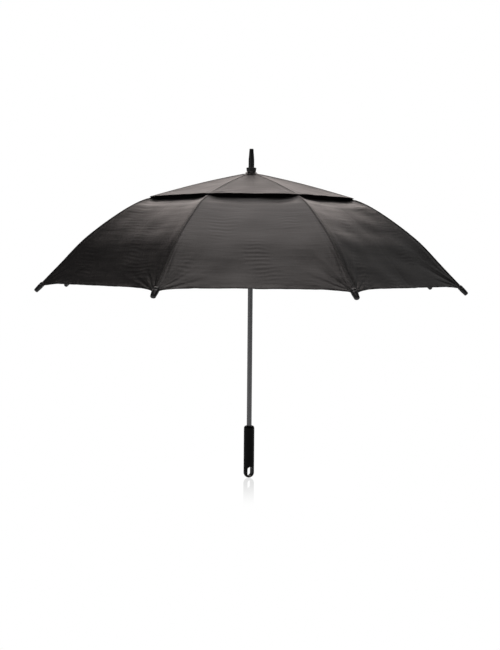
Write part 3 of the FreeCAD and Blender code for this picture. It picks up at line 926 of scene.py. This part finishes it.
def build_ties(index):
    """Thread loops that tie the seam to the rib."""
    direction = rib_direction(index)
    outward, side = unit(direction), unit(direction + math.pi / 2)
    for number, radius, body, line, run, depth in (
        (1, 0.120, "rib_inner_", CAP_LINE, CAP_RUN, INNER_ROD_DEPTH),
        (2, 0.400, "rib_outer_", SKIRT_LINE, SKIRT_RUN, OUTER_ROD_DEPTH),
        (3, 0.510, "rib_outer_", SKIRT_LINE, SKIRT_RUN, OUTER_ROD_DEPTH),
    ):
        s = at_radius(line, run, radius)
        r, z = on_line(line, run, s)
        r2, z2 = on_line(line, run, s + 0.002)
        slope = np.array([r2 - r, z2 - z]) / math.hypot(r2 - r, z2 - z)
        out = np.array([-slope[1], slope[0]])
        low, high = -(depth + TIE_LOOP_R), -0.3 * MM
        loop = []
        steps = 14
        for turn in range(TIE_TURNS):
            for k in range(steps):
                a = 2 * math.pi * k / steps
                height = (low + high) / 2 + (high - low) / 2 * math.sin(a)
                shift = (turn + k / steps) * TIE_PITCH
                q = np.array([r, z]) + out * height + slope * shift
                loop.append(q[0] * outward + q[1] * UP + TIE_LOOP_R * math.cos(a) * side)
        tie = round_path(f"thread_tie_{index + 1}_{number}", loop, THREAD_R, THREAD, 6)
        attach(tie, body + str(index + 1))


def build_fittings():
    build_handle()
    build_top()
    for index in range(RIBS):
        build_tip(index)
        build_ties(index)


def finish_cad_nodes():
    """Give every CAD node that stays its finish."""
    finishes = {
        "shaft_tube": SHAFT, "crown_notch": PLASTIC, "runner": PLASTIC,
        "crown_wire": WIRE, "runner_wire": WIRE, "top_catch": SPRING, "bottom_catch": SPRING,
        "rib_inner": RIB, "rib_outer": RIB, "stretcher": STRUT,
    }
    for name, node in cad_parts.items():
        key = name if name in finishes else name.rsplit("_", 1)[0]
        material = finishes.get(key, PLASTIC)
        if not node.material_slots:
            node.data.materials.append(material)
        for slot in node.material_slots:
            slot.material = material


# ---------------------------------------------------------------- studio

def build_camera():
    """Camera of the photograph: round the shaft by its yaw, tilted down and a little to one side."""
    back = Vector((-math.sin(CAMERA_YAW), -math.cos(CAMERA_YAW), 0))
    forward = -back * math.cos(CAMERA_PITCH) + Vector((0, 0, math.sin(CAMERA_PITCH)))
    lean = Vector((-math.sin(CAMERA_ROLL), 0, math.cos(CAMERA_ROLL)))
    right = forward.cross(lean).normalized()
    up = right.cross(forward)
    data = bpy.data.cameras.new("camera")
    data.lens = CAMERA_LENS
    camera = bpy.data.objects.new("camera", data)
    camera.matrix_world = Matrix((right, up, -forward)).transposed().to_4x4()
    camera.location = back * CAMERA_DISTANCE + Vector((0, 0, CAMERA_HEIGHT))
    bpy.context.scene.collection.objects.link(camera)
    bpy.context.scene.camera = camera


def area_light(name, position, target, size, power, colour):
    data = bpy.data.lights.new(name, "AREA")
    data.shape = "RECTANGLE"
    data.size, data.size_y = size
    data.energy = power
    data.color = colour
    lamp = bpy.data.objects.new(name, data)
    lamp.location = position
    lamp.rotation_euler = (Vector(target) - Vector(position)).to_track_quat("-Z", "Y").to_euler()
    lamp.visible_camera = False
    bpy.context.scene.collection.objects.link(lamp)


def build_world():
    """White to the camera, nearly black to the object."""
    world = bpy.data.worlds.new("studio")
    world.use_nodes = True
    bpy.context.scene.world = world
    tree = world.node_tree
    sky = tree.nodes["Background"]
    sky.inputs["Color"].default_value = (1, 1, 1, 1)
    seen = tree.nodes.new("ShaderNodeLightPath")
    level = tree.nodes.new("ShaderNodeMapRange")
    level.inputs["To Min"].default_value = WORLD_ON_OBJECT
    level.inputs["To Max"].default_value = 1.0
    tree.links.new(seen.outputs["Is Camera Ray"], level.inputs["Value"])
    tree.links.new(level.outputs["Result"], sky.inputs["Strength"])


def floor_material():
    """White lit floor with a soft reflection near the handle that fades further out, clear from below."""
    n = Nodes("pale_floor")
    shine = n.add("ShaderNodeBsdfGlossy")
    glow = n.add("ShaderNodeEmission")
    both = n.add("ShaderNodeAddShader")
    distance = n.add("ShaderNodeVectorMath", operation="LENGTH")
    n.put(n.place(), distance.inputs[0])
    near = n.ramp(distance.outputs["Value"], *REFLECTION_REACH, 1.0, 0.0)
    n.put(n.math("MULTIPLY", near, REFLECTION / FLOOR_GLOW_ON_OBJECT), shine.inputs["Color"])
    shine.inputs["Roughness"].default_value = 0.07
    seen = n.add("ShaderNodeLightPath").outputs["Is Camera Ray"]
    level = n.math("SUBTRACT", 1.0, n.math("MULTIPLY", near, REFLECTION))
    strength = n.ramp(seen, 0.0, 1.0, FLOOR_GLOW_ON_OBJECT, 1.0)
    n.put(n.math("MULTIPLY", level, strength), glow.inputs["Strength"])
    n.tree.links.new(shine.outputs[0], both.inputs[0])
    n.tree.links.new(glow.outputs[0], both.inputs[1])
    clear = n.add("ShaderNodeBsdfTransparent")
    sides = n.add("ShaderNodeMixShader")
    n.put(n.add("ShaderNodeNewGeometry").outputs["Backfacing"], sides.inputs[0])
    n.tree.links.new(both.outputs[0], sides.inputs[1])
    n.tree.links.new(clear.outputs[0], sides.inputs[2])
    n.tree.links.new(sides.outputs[0], n.tree.nodes["Material Output"].inputs["Surface"])
    return n.material


def build_studio():
    """Pale floor, soft lights and the photograph's plain white."""
    build_world()
    bpy.ops.mesh.primitive_plane_add(size=FLOOR_SIZE, location=(0, 0, -FLOOR_DROP))
    floor = bpy.context.object
    floor.name = "floor"
    floor.data.materials.append(floor_material())
    for name, settings in LIGHTS.items():
        area_light(name, *settings)
    bpy.context.scene.view_settings.view_transform = "Standard"


build_camera()
build_studio()
finish_cad_nodes()
build_canopy()
build_fittings()
